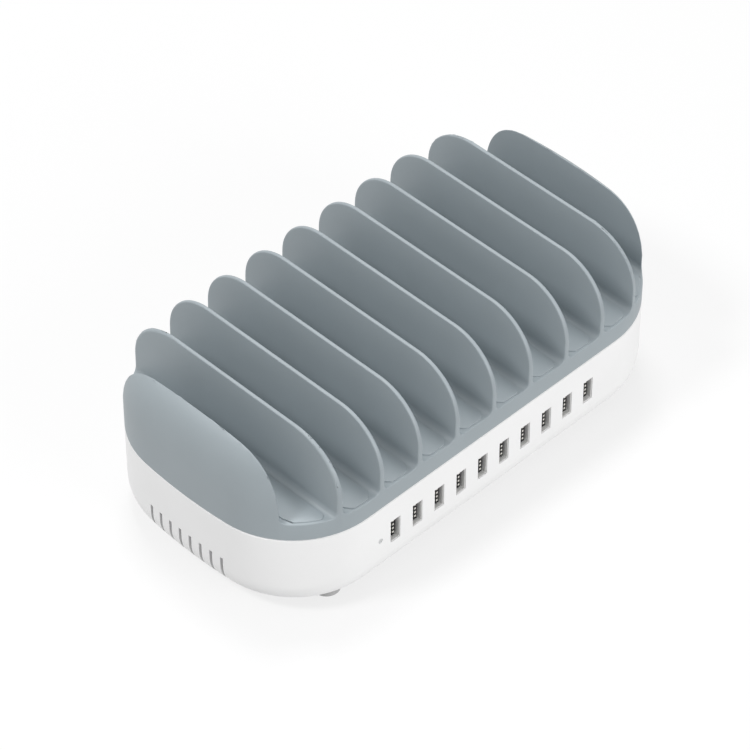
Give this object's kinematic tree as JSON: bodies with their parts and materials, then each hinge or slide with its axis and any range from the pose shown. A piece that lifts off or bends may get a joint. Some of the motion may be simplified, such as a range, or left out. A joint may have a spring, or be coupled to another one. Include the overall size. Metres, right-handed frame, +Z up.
{
  "type": "charging station organizer",
  "caption": "Desktop charging station: a white powered base with a row of upright USB sockets under a grey rack of rounded fins that stands phones and tablets on edge.",
  "frame": {"origin": "on the table under the middle of the body", "axes": "+X along the row of slots, +Y from the USB sockets towards the mains inlet, +Z up"},
  "size_m": [0.2564, 0.1368, 0.0954],
  "materials": {
    "rack_grey": "satin",
    "base_white": "satin",
    "foot_rubber": "matte",
    "socket_steel": "satin",
    "black_plastic": "satin",
    "contact_metal": "polished",
    "board_laminate": "satin",
    "clear_guide": "clear",
    "led_body": "satin",
    "fuse_case": "satin",
    "film_case": "satin",
    "ferrite": "matte",
    "coil_copper": "satin",
    "can_aluminium": "satin",
    "screw_steel": "satin"
  },
  "bodies": {
    "body": {"top_rack": "rack_grey", "base_shell": "base_white", "foot_1": "foot_rubber", "foot_2": "foot_rubber", "foot_3": "foot_rubber", "foot_4": "foot_rubber", "usb_shell_01": "socket_steel", "usb_shell_02": "socket_steel", "usb_shell_03": "socket_steel", "usb_shell_04": "socket_steel", "usb_shell_05": "socket_steel", "usb_shell_06": "socket_steel", "usb_shell_07": "socket_steel", "usb_shell_08": "socket_steel", "usb_shell_09": "socket_steel", "usb_shell_10": "socket_steel", "usb_insulator_01": "black_plastic", "usb_insulator_02": "black_plastic", "usb_insulator_03": "black_plastic", "usb_insulator_04": "black_plastic", "usb_insulator_05": "black_plastic", "usb_insulator_06": "black_plastic", "usb_insulator_07": "black_plastic", "usb_insulator_08": "black_plastic", "usb_insulator_09": "black_plastic", "usb_insulator_10": "black_plastic", "ac_inlet_body": "black_plastic", "switch_housing": "black_plastic", "power_transistor_1": "black_plastic", "power_transistor_2": "black_plastic", "bridge_rectifier": "black_plastic", "usb_contacts_01": "contact_metal", "usb_contacts_02": "contact_metal", "usb_contacts_03": "contact_metal", "usb_contacts_04": "contact_metal", "usb_contacts_05": "contact_metal", "usb_contacts_06": "contact_metal", "usb_contacts_07": "contact_metal", "usb_contacts_08": "contact_metal", "usb_contacts_09": "contact_metal", "usb_contacts_10": "contact_metal", "ac_inlet_pins": "contact_metal", "switch_terminals": "contact_metal", "mains_links": "contact_metal", "main_board": "board_laminate", "light_pipe": "clear_guide", "status_led": "led_body", "fuse": "fuse_case", "x_capacitor": "film_case", "choke_core": "ferrite", "transformer_core": "ferrite", "choke_winding": "coil_copper", "transformer_winding": "coil_copper", "bulk_capacitor": "can_aluminium", "output_capacitors": "can_aluminium", "heat_sink_1": "can_aluminium", "heat_sink_2": "can_aluminium", "case_screws": "screw_steel", "board_screws": "screw_steel"},
    "rocker": {"switch_rocker": "black_plastic"}
  },
  "joints": [
    {"name": "switch_rock", "type": "hinge", "parent": "body", "child": "rocker", "pos_m": [0.02198, 0.0632, 0.031], "axis": [1, 0, 0], "range_deg": [0, 16]}
  ]
}
